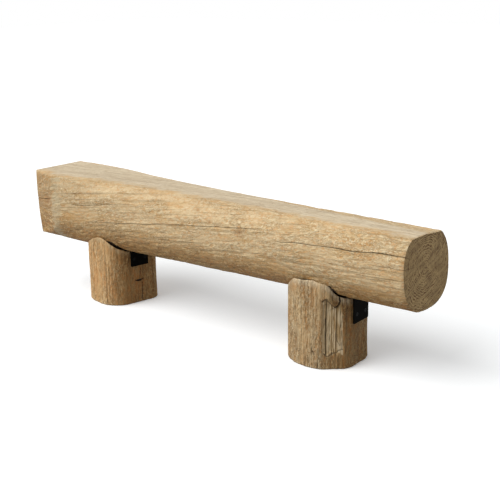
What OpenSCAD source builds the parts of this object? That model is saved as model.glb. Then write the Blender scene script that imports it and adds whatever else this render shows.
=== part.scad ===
// Rustic log bench: a hewn log saddled on two short posts, held by steel angle brackets.
// X runs along the log, Y from front to back, Z up. The floor is Z = 0.

/* [Seat log] */
// Length of the log
log_l = 1820; // [1500:5:2200]
// Height of the flat seat above the floor
seat_h = 500; // [440:1:560]
// Depth of the log at its butt end, front to back
butt_d = 304; // [270:1:340]
// Height of the log at its butt end, before the seat was hewn flat
butt_h = 323; // [300:1:345]
// Thickness of the slab hewn off the top at the butt end
slab_h = 40; // [30:1:50]
// Sideways bow of the log between its ends
bow = 15; // [0:0.5:25]
// Sideways lean that the natural twist gives the section, at half its height
twist_lean = 15; // [0:0.5:20]
// Depth of the waves that the adze left along the log
hew_wave = 1.6; // [0:0.1:4]
// Distance between those waves
hew_pitch = 330; // [150:5:600]
// Width of the bevel round each sawn end
end_bevel = 2.5; // [1:0.5:10]

/* [Hewn faces of the log] */
// Length of the oblique face hewn on the front of the butt end
butt_face_l = 205; // [80:5:300]
// How far that face cuts in at the end
butt_face_in = 66; // [30:1:100]
// Angle by which that face overhangs
butt_face_lean = 1.5; // [0:0.5:8]
// How far that face swells out at the middle of its height
butt_face_crown = 9; // [1:0.5:15]
// Width of the second hewn face, along the back edge of the seat
back_face_w = 85; // [40:1:110]
// Drop of that face at the thin end
back_face_drop = 9; // [2:0.5:14]
// Distance from the thin end at which that face starts
back_face_l = 1300; // [600:5:1400]

/* [Drying checks of the log] */
// Width of a drying check at its mouth
check_w = 4; // [1:0.5:6]
// Depth of a drying check at its deepest
check_depth = 10; // [2:0.5:20]

/* [Legs] */
// Distance from the butt end of the log to the centre of its leg
butt_overhang = 401; // [300:1:480]
// Distance from the thin end of the log to the centre of its leg
thin_overhang = 376; // [300:1:480]
// Width of the butt leg between its dressed sides
butt_leg_w = 230; // [190:1:250]
// Width of the other leg between its dressed sides
thin_leg_w = 256; // [190:1:270]
// Depth of each leg, front to back
leg_d = 244; // [200:1:260]
// How far the centre of the butt leg lies in front of the middle of the bench
butt_leg_front = 6; // [0:0.5:25]
// How far the centre of the other leg lies in front of the middle of the bench
thin_leg_front = 24; // [0:0.5:35]
// Turn of the butt leg about the vertical
butt_leg_turn = -10.5; // [-15:0.5:15]
// Turn of the other leg about the vertical
thin_leg_turn = 2; // [-15:0.5:15]
// Wood taken off each side of a leg to seat its brackets
side_dressing = 4; // [1:0.5:8]
// Height of the lip of the thin-end saddle above the floor, at its highest
lip_h = 322; // [290:1:340]
// Fall of that lip across the leg
lip_fall = 30; // [0:1:50]
// Bevel round the foot of each leg
foot_bevel = 4; // [1:0.5:8]

/* [Torn corner of the leg at the thin end] */
// Angle round the leg at which its front corner was torn flat
torn_angle = -50.5; // [-60:0.5:-40]
// Distance of that flat from the axis of the leg
torn_out = 121.5; // [118:0.5:128]
// Width of the bed from which splinters came away
torn_w = 58; // [30:1:64]
// Height of that bed
torn_h = 185; // [100:5:190]
// Height of its foot above the floor
torn_foot = 52; // [20:1:60]
// Depth of that bed at its deepest
torn_depth = 6; // [1:0.5:10]

/* [Angle brackets] */
// Width of the steel strip on the butt leg
butt_bracket_w = 80; // [60:1:110]
// Width of the steel strip on the other leg
thin_bracket_w = 90; // [60:1:110]
// Thickness of the steel strip
bracket_t = 5; // [3:0.5:8]
// Radius inside the bend
bend_r = 5; // [2:0.5:10]
// Length of the brackets' flanges on the butt leg, over the bend
butt_flange_l = 78; // [70:1:120]
// Length of the brackets' flanges on the other leg, over the bend
thin_flange_l = 103; // [70:1:120]
// Length of the flange under the log
log_flange_l = 78; // [55:1:90]
// Depth of the flat bed for that flange, over the lowest line of the log
let_in = 17; // [1:0.5:20]
// Radius on the free corners of each flange
corner_r = 3; // [1:0.5:10]
// Place of the butt-leg brackets across the leg, towards the back
butt_bracket_y = 15; // [-30:1:30]
// Place of the other brackets across the leg, towards the back
thin_bracket_y = 11; // [-30:1:30]

/* [Screws] */
// Diameter of the shank
screw_d = 7; // [5:0.5:8]
// Length of a screw, head included
screw_l = 60; // [40:1:80]
// Diameter of the countersunk head
screw_head_d = 13; // [11:0.5:16]
// Width across the flats of the socket in the head
socket_af = 4; // [3:0.5:5]
// Depth of that socket
socket_h = 2.2; // [1:0.1:3]
// Distance between the two screws of a flange
screw_gap = 52; // [30:1:60]
// Distance from the free end of a flange to its screws
screw_edge = 30; // [18:1:35]

/* [Fits] */
// Room under the log at the seat of each saddle
saddle_seat_fit = 0.3; // [0.2:0.1:1]
// Room between the log and the cheeks of each saddle, at the middle of the leg
saddle_cheek_fit = 5; // [0.5:0.5:8]
// How much wider than that the saddle opens at the side towards the thin end
saddle_flare = 6; // [0:0.5:8]
// Room between a bracket and the wood it lies on
bracket_fit = 0.1; // [0.05:0.05:0.5]
// Room beside a flange that is let into the log
let_in_fit = 1.5; // [0.5:0.5:4]
// Room round a screw in its pilot hole
pilot_fit = 0.1; // [0.05:0.05:0.3]
// Room round a screw in its bracket
hole_fit = 0.3; // [0.1:0.1:1]

/* [Smoothness] */
// Sections along the log
log_sections = 40; // [30:2:60]
// Corners of each section of the log
log_sides = 48; // [36:4:60]
// Sections up a leg
leg_sections = 8; // [6:1:16]
// Corners of each section of a leg
leg_sides = 56; // [40:4:72]

/* [Hidden] */
$fn = 48;

// Where the form of the log changes, as shares of its length from the butt end
station_shares = [0, 0.12, 0.2, 0.28, 0.5, 0.75, 1];
// Depth, height and hewn slab of the log at these stations, as shares of those at the butt
depth_shares = [1, 1, 0.974, 0.954, 0.934, 0.928, 0.938];
height_shares = [1, 1, 0.976, 0.96, 0.901, 0.867, 0.84];
slab_shares = [1, 1, 0.75, 0.65, 0.4, 0.4, 0.4];
// Side shift and lean of the section there, as shares of the bow and of the twist lean
bow_shares = [0.19, 0.19, 0.59, 0.52, -0.08, -0.68, -1.08];
lean_shares = [0.87, 0.87, 1, 0.4, 0, -0.45, -1];
// Squareness of the section's upper and lower half there: 2 is an ellipse, and the butt end was hewn squarer
top_squareness = [4.3, 4.3, 3.1, 2.55, 2.35, 2.35, 2.5];
bottom_squareness = [2.45, 2.5, 2.45, 2.4, 2.35, 2.35, 2.5];

// Drying checks, which follow the twisted grain: both ends of each as shares of the log's length, the angles round
// the section at its start, middle and end, and its size as a share of the width and depth above
check_span_shares = [[0.114, 0.259], [0.132, 0.351], [0.212, 0.697], [0.715, 1.01], [0.489, 0.658],
    [0.445, 0.775], [0.17, 0.555], [0.61, 0.967]];
check_angles = [[175, 163, 149], [180, 169, 155], [189, 172, 151], [166, 159, 154], [196, 190, 185],
    [261, 248, 238], [360, 346, 327], [345, 332, 323]];
check_size_shares = [0.5, 0.65, 0.85, 1, 0.6, 1, 0.9, 1];
// Sections along a check, and its least size as a share of its full size
check_sections = 14;
check_end_share = 0.08;

// Squareness of the rounded front and of the flatter back of each leg
butt_leg_squareness = 2.55;
thin_leg_squareness = 2.15;
butt_back_squareness = 4.7;
thin_back_squareness = 3.15;
// Depth, foot and height of the splinters' beds, side by side, as shares of those of the whole torn bed
splinter_depth_shares = [0.5, 1, 0.7, 0.35];
splinter_foot_shares = [0.03, 0, 0.06, 0.02];
splinter_height_shares = [0.93, 0.96, 0.82, 0.98];
// Least room at a saddle's cheek, as a share of that at the middle of the leg
least_cheek_share = 0.1;
// Width of a leg at its top, as a share of that at its foot
leg_top_share = 0.985;
// Number of adze waves round the log and round a leg
waves_round = 3;
// Depth of a leg's waves, as a share of the log's
leg_wave_share = 0.6;
// Height of a leg's blank, as a share of the seat's height
blank_share = 0.66;
// Length of a screw's tip and width of its point, as shares of the shank's diameter
tip_share = 1.2;
point_share = 0.25;
// Sides of the socket in a screw's head
socket_sides = 6;
// Corners of the circles that round a flange's corners, and of the one that crowns the butt face
corner_sides = 32;
crown_sides = 360;
// Overrun of every cut
over = 2;
// Size of a block that cuts all beyond a plane
block = 2 * log_l;

butt_leg = [butt_overhang - log_l / 2, -butt_leg_front, butt_leg_w, butt_leg_turn,
    butt_leg_squareness, butt_back_squareness, butt_bracket_w, butt_bracket_y, butt_flange_l];
thin_leg = [log_l / 2 - thin_overhang, -thin_leg_front, thin_leg_w, thin_leg_turn,
    thin_leg_squareness, thin_back_squareness, thin_bracket_w, thin_bracket_y, thin_flange_l];
function leg_x(leg) = leg[0];
function leg_y(leg) = leg[1];
function leg_w(leg) = leg[2];
function leg_turn(leg) = leg[3];
function front_squareness(leg) = leg[4];
function back_squareness(leg) = leg[5];
function bracket_w(leg) = leg[6];
function bracket_y(leg) = leg[7];
function leg_flange_l(leg) = leg[8];

// The log's form

function mix(a, b, t) = a + (b - a) * t;
function span(s, i = 0) = i >= len(station_shares) - 2 || s < station_shares[i + 1] ? i : span(s, i + 1);
function slope(values, i) = let(
    from = max(0, i - 1),
    to = min(len(values) - 1, i + 1)
) (values[to] - values[from]) / (station_shares[to] - station_shares[from]);

// Value along the log: a smooth curve through its values at the stations
function along(x, values) = let(
    s = min(1, max(0, x / log_l + 1 / 2)),
    i = span(s),
    gap = station_shares[i + 1] - station_shares[i],
    t = (s - station_shares[i]) / gap,
    rise = values[i + 1] - values[i],
    m = slope(values, i) * gap,
    n = slope(values, i + 1) * gap
) values[i] + t * (m + t * (3 * rise - 2 * m - n + t * (m + n - 2 * rise)));

function half_d(x) = butt_d / 2 * along(x, depth_shares);
function half_h(x) = butt_h / 2 * along(x, height_shares);
function axis_y(x) = bow * along(x, bow_shares);
function axis_z(x) = seat_h + slab_h * along(x, slab_shares) - half_h(x);
function lean(x) = twist_lean * along(x, lean_shares);
function log_bottom(x) = axis_z(x) - half_h(x);
function power(v, e) = sign(v) * pow(abs(v), e);

// Back edge of the flat seat
function seat_edge(x) = let(
    w = (seat_h - axis_z(x)) / half_h(x),
    n = along(x, top_squareness)
) axis_y(x) + lean(x) * w + half_d(x) * pow(1 - pow(w, n), 1 / n);

// Waves left by hewing, never outwards
function wave(x, angle) = (cos(x / hew_pitch * 360 + angle) + sin(waves_round * angle)) / 4 - 1 / 2;

// Point of the log's skin; fit_d and fit_h grow the section to give room in a saddle
function log_point(x, angle, fit_d = 0, fit_h = 0) = let(
    e = 2 / along(x, angle < 180 ? top_squareness : bottom_squareness),
    u = power(cos(angle), e),
    w = power(sin(angle), e),
    hewn = hew_wave * wave(x, angle)
) [x,
   axis_y(x) + lean(x) * w + (half_d(x) + hewn + fit_d) * u,
   axis_z(x) + (half_h(x) + hewn * max(0, w) + fit_h) * w];

function log_ring(x, fit_d = 0, fit_h = 0) =
    [for (i = [0 : log_sides - 1]) log_point(x, i / log_sides * 360, fit_d, fit_h)];

// Closed skin over a row of rings that have as many points each
module skin(rings) {
    sides = len(rings[0]);
    last = (len(rings) - 1) * sides;
    walls = [for (k = [0 : len(rings) - 2]) for (i = [0 : sides - 1])
        let(a = k * sides + i, b = k * sides + (i + 1) % sides)
        each [[a, b + sides, b], [a, a + sides, b + sides]]];
    caps = [[for (i = [0 : sides - 1]) i], [for (i = [sides - 1 : -1 : 0]) last + i]];
    polyhedron([for (ring = rings) each ring], concat(walls, caps));
}

// Places of the sections along the log, the first and last at the inside of the end bevels
function section_x(k) = mix(-log_l / 2 + end_bevel, log_l / 2 - end_bevel, k / log_sections);

module whole_log() {
    skin(concat(
        [log_ring(-log_l / 2, -end_bevel, -end_bevel)],
        [for (k = [0 : log_sections]) log_ring(section_x(k))],
        [log_ring(log_l / 2, -end_bevel, -end_bevel)]));
}

// Room at the cheeks of a saddle, which opens towards the thin end
function cheek_room(leg, x) = max(saddle_cheek_fit * least_cheek_share,
    saddle_cheek_fit + saddle_flare * (x - leg_x(leg)) / (leg_w(leg) / 2));

// The stretch of the log over one leg, grown by the saddle's fits
module saddle_cutter(leg) {
    reach = (leg_w(leg) + leg_d) / 2;
    step = (log_l - 2 * end_bevel) / log_sections;
    first = floor((leg_x(leg) - reach + log_l / 2 - end_bevel) / step);
    last = ceil((leg_x(leg) + reach + log_l / 2 - end_bevel) / step);
    skin([for (k = [first : last]) log_ring(section_x(k), cheek_room(leg, section_x(k)), saddle_seat_fit)]);
}

// Everything above the seat
module above_seat() translate([-block / 2, -block / 2, seat_h]) cube(block);

// Oblique face on the front of the butt end, hewn a little round
module beyond_butt_face() {
    end = -log_l / 2;
    crown_r = (pow(butt_h / 2, 2) + pow(butt_face_crown, 2)) / (2 * butt_face_crown);
    translate([end, axis_y(end) - half_d(end) + butt_face_in, axis_z(end)])
        rotate([0, 0, -atan2(butt_face_in, butt_face_l)]) rotate([butt_face_lean, 0, 0]) difference() {
            translate([-block / 2, -block, -block / 2]) cube(block);
            translate([0, crown_r - butt_face_crown, 0]) rotate([0, 90, 0])
                cylinder(r = crown_r, h = 2 * block, center = true, $fn = crown_sides);
        }
}

// Section of a drying check at a share of its way: its mouth outside the skin, its root towards the pith
function check_ring(i, t) = let(
    ends = check_span_shares[i],
    a = check_angles[i],
    x = (mix(ends[0], ends[1], t) - 1 / 2) * log_l,
    angle = a[0] + t * (4 * a[1] - 3 * a[0] - a[2]) + t * t * 2 * (a[0] - 2 * a[1] + a[2]),
    taper = sqrt(sin((ends[1] > 1 ? 90 : 180) * t)),
    size = check_size_shares[i] * mix(check_end_share, 1, taper),
    p = log_point(x, angle),
    reach = [axis_y(x) - p[1], axis_z(x) - p[2]],
    inward = reach / norm(reach),
    across = [inward[1], -inward[0]] * check_w * size / 2,
    lip = [p[1], p[2]] - inward * over,
    root = [p[1], p[2]] + inward * check_depth * size
) [for (q = [lip - across, lip + across, root]) [x, q[0], q[1]]];

module drying_checks() {
    for (i = [0 : len(check_span_shares) - 1])
        skin([for (k = [0 : check_sections]) check_ring(i, k / check_sections)]);
}

// Second hewn face: it leaves the seat along a line from the thin end to the back edge
module beyond_back_face() {
    end = log_l / 2;
    start = seat_edge(end) - back_face_w;
    run_out = atan2(seat_edge(end - back_face_l) - start, back_face_l);
    translate([end, start, seat_h])
        rotate([0, 0, -run_out]) rotate([-atan2(back_face_drop, back_face_w), 0, 0])
        translate([-block / 2, 0, 0]) cube(block);
}

// The legs

// Point of a leg's skin about the leg's own axis, with its sides still undressed
function leg_point(leg, angle, z, inset = 0) = let(
    e = 2 / (angle > 180 ? front_squareness(leg) : back_squareness(leg)),
    grown = mix(1, leg_top_share, z / seat_h),
    hewn = leg_wave_share * hew_wave * wave(z, angle) - inset
) [((leg_w(leg) / 2 + side_dressing) * grown + hewn) * power(cos(angle), e),
   (leg_d / 2 * grown + hewn) * power(sin(angle), e), z];

function leg_ring(leg, z, inset = 0) =
    [for (i = [0 : leg_sides - 1]) leg_point(leg, i / leg_sides * 360, z, inset)];

module leg_blank(leg, blank_h) {
    skin(concat(
        [leg_ring(leg, 0, foot_bevel)],
        [for (k = [0 : leg_sections]) leg_ring(leg, mix(foot_bevel, blank_h, k / leg_sections))]));
}

// Puts a child on the axis of a leg
module at_leg(leg) translate([leg_x(leg), leg_y(leg), 0]) rotate([0, 0, leg_turn(leg)]) children();

// Puts a child on one dressed side of a leg, with X pointing out of it
module at_side(leg, side) at_leg(leg) rotate([0, 0, side > 0 ? 0 : 180])
    translate([leg_w(leg) / 2, side * bracket_y(leg), 0]) children();

module leg(leg, blank_h, top_fall) {
    difference() {
        at_leg(leg) difference() {
            leg_blank(leg, blank_h);
            for (side = [-1, 1])
                translate([side * (leg_w(leg) + block) / 2, 0, 0]) cube([block, block, block * 2], center = true);
            // The lip is sawn off on the slope
            translate([leg_w(leg) / 2, 0, blank_h]) rotate([0, -top_fall, 0])
                translate([-block, -block / 2, 0]) cube(block);
        }
        saddle_cutter(leg);
        for (side = [-1, 1]) at_side(leg, side) leg_pilots(leg, side);
    }
}

// What was torn off the front corner of the leg at the thin end, splinter by splinter
module torn_corner() {
    count = len(splinter_depth_shares);
    at_leg(thin_leg) rotate([0, 0, torn_angle]) translate([torn_out, 0, 0]) {
        translate([0, -block / 2, -block / 2]) cube(block);
        for (k = [0 : count - 1])
            translate([-torn_depth * splinter_depth_shares[k], torn_w * (k / count - 1 / 2),
                       torn_foot + torn_h * splinter_foot_shares[k]])
                cube([torn_depth + over, torn_w / count + over, torn_h * splinter_height_shares[k]]);
    }
}

// The brackets, drawn on a leg's side: X out of the leg, Z up

// Height of the bracket's seat under the log, let in far enough along the whole flange
function seat_z(leg, side) = let(
    near = leg_x(leg) + side * leg_w(leg) / 2,
    far = near + side * log_flange_l
) max(log_bottom(near), log_bottom(far)) + let_in;

function bracket_top(leg, side) = seat_z(leg, side) - bracket_fit;
function flange_z(leg, side) = bracket_top(leg, side) - bracket_t;
function bracket_foot(leg, side) = bracket_top(leg, side) - leg_flange_l(leg);

module round_corner(t) cylinder(r = corner_r, h = t, $fn = corner_sides);

// Flat strip w wide and l long, with its two free corners rounded
module strip(w, l, t) {
    hull() {
        translate([0, -w / 2, 0]) cube([corner_r, w, t]);
        for (y = [-1, 1]) translate([l - corner_r, y * (w / 2 - corner_r), 0]) round_corner(t);
    }
}

// Hole for a countersunk screw that enters along -Z at the origin
module screw_hole() {
    sink_h = (screw_head_d - screw_d) / 2;
    translate([0, 0, -bracket_t - over]) cylinder(d = screw_d + 2 * hole_fit, h = bracket_t + 2 * over);
    translate([0, 0, -sink_h]) cylinder(d1 = screw_d + 2 * hole_fit, d2 = screw_head_d + 2 * hole_fit, h = sink_h);
    cylinder(d = screw_head_d + 2 * hole_fit, h = over);
}

// Puts children at the two screws of the flange on the leg, with Z out of the flange
module at_leg_screws(leg, side) for (y = [-1, 1])
    translate([bracket_fit + bracket_t, y * screw_gap / 2, bracket_foot(leg, side) + screw_edge])
    rotate([0, 90, 0]) children();

// Puts children at the two screws of the flange under the log, with Z out of the flange
module at_log_screws(leg, side) for (y = [-1, 1])
    translate([log_flange_l - screw_edge, y * screw_gap / 2, flange_z(leg, side)])
    rotate([180, 0, 0]) children();

module bracket(leg, side) {
    w = bracket_w(leg);
    top = bracket_top(leg, side);
    bend = bend_r + bracket_t;
    color("#1b1b1c") at_side(leg, side) difference() {
        union() {
            translate([bracket_fit, 0, top - bend]) rotate([0, 90, 0])
                strip(w, leg_flange_l(leg) - bend, bracket_t);
            translate([bracket_fit + bend, 0, top - bracket_t])
                strip(w, log_flange_l - bend, bracket_t);
            translate([bracket_fit + bend, 0, top - bend]) rotate([90, 0, 0]) intersection() {
                difference() {
                    cylinder(r = bend, h = w, center = true);
                    cylinder(r = bend_r, h = w + over, center = true);
                }
                translate([-bend, 0, -w / 2]) cube([bend, bend, w]);
            }
        }
        at_leg_screws(leg, side) screw_hole();
        at_log_screws(leg, side) screw_hole();
    }
}

// The place in the log's underside that takes a flange
module let_in_seat(leg, side) {
    w = bracket_w(leg) + 2 * let_in_fit;
    translate([-over, -w / 2, seat_z(leg, side) - let_in - slab_h])
        cube([log_flange_l + let_in_fit + over, w, let_in + slab_h]);
}

// The screws

module pilot() cylinder(d = screw_d + 2 * pilot_fit, h = screw_l + pilot_fit);
module leg_pilots(leg, side) at_leg_screws(leg, side) rotate([180, 0, 0]) pilot();
module log_pilots(leg, side) at_log_screws(leg, side) rotate([180, 0, 0]) pilot();

// Countersunk screw along -Z, its head flush with the origin
module screw() {
    head_h = (screw_head_d - screw_d) / 2;
    tip_h = screw_d * tip_share;
    difference() {
        union() {
            translate([0, 0, -head_h]) cylinder(d1 = screw_d, d2 = screw_head_d, h = head_h);
            translate([0, 0, tip_h - screw_l]) cylinder(d = screw_d, h = screw_l - tip_h - head_h);
            translate([0, 0, -screw_l]) cylinder(d1 = screw_d * point_share, d2 = screw_d, h = tip_h);
        }
        translate([0, 0, -socket_h]) cylinder(d = socket_af / cos(180 / socket_sides), h = socket_h + over, $fn = socket_sides);
    }
}

module leg_screws(leg, side) color("#242426") at_side(leg, side) at_leg_screws(leg, side) screw();
module log_screws(leg, side) color("#242426") at_side(leg, side) at_log_screws(leg, side) screw();

// The pieces

module seat_log() color("#c3a67c") difference() {
    whole_log();
    above_seat();
    beyond_butt_face();
    beyond_back_face();
    drying_checks();
    for (leg = [butt_leg, thin_leg]) for (side = [-1, 1]) at_side(leg, side) {
        let_in_seat(leg, side);
        log_pilots(leg, side);
    }
}

module butt_leg() color("#b78c58") leg(butt_leg, seat_h * blank_share, 0);
module thin_leg() color("#b99a6b") difference() {
    leg(thin_leg, lip_h, atan2(lip_fall, thin_leg_w));
    torn_corner();
}

seat_log();
butt_leg();
thin_leg();
bracket(butt_leg, -1);  // butt_outer_bracket
bracket(butt_leg, 1);  // butt_inner_bracket
bracket(thin_leg, -1);  // thin_inner_bracket
bracket(thin_leg, 1);  // thin_outer_bracket
leg_screws(butt_leg, -1);  // butt_outer_leg_screws
log_screws(butt_leg, -1);  // butt_outer_log_screws
leg_screws(butt_leg, 1);  // butt_inner_leg_screws
log_screws(butt_leg, 1);  // butt_inner_log_screws
leg_screws(thin_leg, -1);  // thin_inner_leg_screws
log_screws(thin_leg, -1);  // thin_inner_log_screws
leg_screws(thin_leg, 1);  // thin_outer_leg_screws
log_screws(thin_leg, 1);  // thin_outer_log_screws
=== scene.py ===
import math
import bmesh
import bpy
import numpy as np
from mathutils import Matrix, Vector, noise
from mathutils.bvhtree import BVHTree


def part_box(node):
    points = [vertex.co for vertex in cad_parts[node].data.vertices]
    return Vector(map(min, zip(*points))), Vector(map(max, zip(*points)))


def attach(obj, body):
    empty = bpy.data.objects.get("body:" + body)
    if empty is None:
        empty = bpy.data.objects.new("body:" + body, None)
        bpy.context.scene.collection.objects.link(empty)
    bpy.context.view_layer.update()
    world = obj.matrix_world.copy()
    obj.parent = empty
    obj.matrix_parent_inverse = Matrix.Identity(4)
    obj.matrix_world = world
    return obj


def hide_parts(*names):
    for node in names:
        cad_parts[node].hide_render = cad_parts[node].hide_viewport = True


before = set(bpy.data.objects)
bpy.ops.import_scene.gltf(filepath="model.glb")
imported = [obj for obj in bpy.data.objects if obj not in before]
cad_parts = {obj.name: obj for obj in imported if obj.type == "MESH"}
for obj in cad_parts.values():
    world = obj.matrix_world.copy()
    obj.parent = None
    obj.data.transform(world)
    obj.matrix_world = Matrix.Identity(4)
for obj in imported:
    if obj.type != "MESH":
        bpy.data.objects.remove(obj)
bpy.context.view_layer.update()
print("frame loaded:", len(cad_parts), "nodes")


def linearColour(hexColour):
    # an sRGB hex colour as the linear one that a shader takes
    channels = [int(hexColour[at:at + 2], 16) / 255 for at in (1, 3, 5)]
    return [c / 12.92 if c <= 0.04045 else ((c + 0.055) / 1.055) ** 2.4 for c in channels] + [1]


def addNode(tree, kind, settings=None, **sockets):
    # one node with its settings; a socket takes a value or another node's output
    made = tree.nodes.new(kind)
    for name, value in (settings or {}).items():
        setattr(made, name, value)
    for name, value in sockets.items():
        key = int(name[2:]) if name.startswith("at") else name.replace("_", " ")
        if isinstance(value, bpy.types.NodeSocket):
            tree.links.new(value, made.inputs[key])
        else:
            made.inputs[key].default_value = value
    return made


def emptyMaterial(name):
    made = bpy.data.materials.new(name)
    made.use_nodes = True
    made.node_tree.nodes.clear()
    return made, made.node_tree


# Camera, light and floor

cameraView = {
    "place": (2.2998, -2.5300, 1.2651),
    "target": (0.1973, -0.0212, 0.3226),
    "roll": -0.01578,
    "lens": 68.36,
    "sensor": 36,
}


def placeCamera(values):
    back = (Vector(values["place"]) - Vector(values["target"])).normalized()
    right = (-back).cross(Vector((0, 0, 1))).normalized()
    up = right.cross(-back)
    turn, lift = math.cos(values["roll"]), math.sin(values["roll"])
    across = turn * right + lift * up
    upright = turn * up - lift * right
    bpy.ops.object.camera_add(location=values["place"])
    camera = bpy.context.object
    camera.name = "camera"
    camera.rotation_euler = Matrix((across, upright, back)).transposed().to_euler()
    camera.data.lens = values["lens"]
    camera.data.sensor_width = values["sensor"]
    bpy.context.scene.camera = camera


placeCamera(cameraView)

studio = {
    # a large soft box, front left: where it shines from, strength, and how many degrees wide it looks
    "lamps": {"keyLight": ((-0.39, -0.60, 0.70), 2.5, 56)},
    "lampFar": 4,             # where a lamp hangs; a sun shines the same from anywhere
    "worldStrength": 0.44,
    "floorSize": 40,
    "paper": "#fcfeff",       # what the camera sees of the floor
    "paperLift": 0.20,        # lifts the lit paper to white
    "paperBounce": "#959595", # what the floor throws back on the wood
}


def seenRays(tree):
    # 1 for the rays that show: straight, through glass or in a reflection
    rays = addNode(tree, "ShaderNodeLightPath").outputs
    seen = rays["Is Camera Ray"]
    for kind in ("Is Transmission Ray", "Is Glossy Ray"):
        seen = addNode(tree, "ShaderNodeMath", {"operation": "MAXIMUM"}, at0=seen, at1=rays[kind]).outputs[0]
    return seen


def lightStudio(values):
    for name, (way, strength, width) in values["lamps"].items():
        bpy.ops.object.light_add(type="SUN", location=Vector(way) * values["lampFar"])
        lamp = bpy.context.object
        lamp.name = name
        lamp.rotation_euler = Vector(way).to_track_quat("Z", "Y").to_euler()
        lamp.data.energy = strength
        lamp.data.angle = math.radians(width)
    world = bpy.data.worlds.new("softRoom")
    bpy.context.scene.world = world
    world.use_nodes = True
    tree = world.node_tree
    tree.nodes.clear()
    white = linearColour("#ffffff")
    room = addNode(tree, "ShaderNodeBackground", Color=white, Strength=values["worldStrength"])
    shown = addNode(tree, "ShaderNodeBackground", Color=white, Strength=1)
    both = addNode(tree, "ShaderNodeMixShader", at0=seenRays(tree), at1=room.outputs[0], at2=shown.outputs[0])
    addNode(tree, "ShaderNodeOutputWorld", Surface=both.outputs[0])


def layFloor(values):
    bpy.ops.object.select_all(action="DESELECT")
    bpy.ops.mesh.primitive_plane_add(size=values["floorSize"])
    floor = bpy.context.object
    floor.name = "floor"
    # matt white paper: it keeps the shadow, and away from it reads as plain white
    paper, tree = emptyMaterial("mattWhitePaper")
    matt = addNode(tree, "ShaderNodeBsdfDiffuse", Color=linearColour(values["paper"]))
    lift = addNode(tree, "ShaderNodeEmission", Color=linearColour("#ffffff"), Strength=values["paperLift"])
    shown = addNode(tree, "ShaderNodeAddShader", at0=matt.outputs[0], at1=lift.outputs[0])
    bounce = addNode(tree, "ShaderNodeBsdfDiffuse", Color=linearColour(values["paperBounce"]))
    both = addNode(tree, "ShaderNodeMixShader", at0=seenRays(tree), at1=bounce.outputs[0],
                   at2=shown.outputs[0])
    addNode(tree, "ShaderNodeOutputMaterial", Surface=both.outputs[0])
    floor.data.materials.append(paper)


lightStudio(studio)
layFloor(studio)
print("camera, light and floor set")


# Tools for shaping a round of wood

rayStart = 0.4      # rays start this far from a tree's axis, clear of the wood
rayTop = 0.6        # and this high, where they fall on a leg from above
waistHeight = 0.02  # where the plain side of a leg is measured
squareOn = 0.9      # how nearly an edge or a face points along Z to be picked
creaseAngle = 48    # edges sharper than this stay sharp


def startEdit(piece, mode):
    # edit mode with nothing selected
    bpy.ops.object.select_all(action="DESELECT")
    piece.select_set(True)
    bpy.context.view_layer.objects.active = piece
    bpy.ops.object.mode_set(mode="EDIT")
    bpy.ops.mesh.select_mode(type=mode)
    bpy.ops.mesh.select_all(action="DESELECT")


def pickLongEdges(piece):
    mesh = bmesh.from_edit_mesh(piece.data)
    for edge in mesh.edges:
        edge.select_set(abs((edge.verts[0].co - edge.verts[1].co).normalized().z) > squareOn)
    bmesh.update_edit_mesh(piece.data)


def pickEnds(piece):
    mesh = bmesh.from_edit_mesh(piece.data)
    for face in mesh.faces:
        face.select_set(abs(face.normal.z) > squareOn)
    bmesh.update_edit_mesh(piece.data)


def roundBlank(name, values):
    # a plain round standing on Z: long edges cut into rings, ends inset ring by ring to a centre point
    radius, length = values["radius"], values["length"]
    bpy.ops.object.select_all(action="DESELECT")
    bpy.ops.mesh.primitive_cylinder_add(vertices=values["columns"], radius=radius, depth=length,
                                        end_fill_type="NGON", location=(0, 0, length / 2))
    piece = bpy.context.object
    piece.name = name
    piece.data.name = name
    bpy.ops.object.transform_apply(location=True, rotation=True, scale=True)
    startEdit(piece, "EDGE")
    for cuts in values["cuts"]:
        pickLongEdges(piece)
        bpy.ops.mesh.subdivide(number_cuts=cuts)
    bpy.ops.mesh.select_mode(type="FACE")
    pickEnds(piece)
    for ring in range(values["capRings"]):
        bpy.ops.mesh.inset(use_individual=True, thickness=radius / (values["capRings"] + 1), depth=0)
    bpy.ops.mesh.merge(type="COLLAPSE")
    bpy.ops.object.mode_set(mode="OBJECT")
    return piece


def readPlaces(piece, values):
    # for each vertex of the blank: its ring from the foot up, its column, and how far in on an end it is
    count = len(piece.data.vertices)
    spots = np.empty(count * 3)
    piece.data.vertices.foreach_get("co", spots)
    spots = spots.reshape(count, 3)
    rings = math.prod(cuts + 1 for cuts in values["cuts"])
    far = np.hypot(spots[:, 0], spots[:, 1])
    step = values["radius"] / (values["capRings"] + 1)
    inward = np.rint((values["radius"] * math.cos(math.pi / values["columns"]) - far) / step).astype(int)
    inward = np.clip(inward, 0, values["capRings"] + 1)
    turn = np.arctan2(spots[:, 1], spots[:, 0]) * values["columns"] / (2 * math.pi)
    ring = np.rint(spots[:, 2] / values["length"] * rings).astype(int)
    offset = np.median(((turn[inward == 0] + 0.5) % 1) - 0.5)
    column = np.rint(turn - offset).astype(int) % values["columns"]
    return ring, column, inward, rings


def skinOf(nodeName):
    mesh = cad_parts[nodeName].data
    corners = [vertex.co.copy() for vertex in mesh.vertices]
    return BVHTree.FromPolygons(corners, [list(face.vertices) for face in mesh.polygons])


def throwRays(skin, starts, ways):
    # where rays meet the solid's skin; a miss stays not-a-number
    found = np.full(starts.shape, np.nan)
    for at in np.ndindex(starts.shape[:-1]):
        hit = skin.ray_cast(Vector(starts[at]), Vector(ways[at]))[0]
        if hit is not None:
            found[at] = hit
    return found


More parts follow.
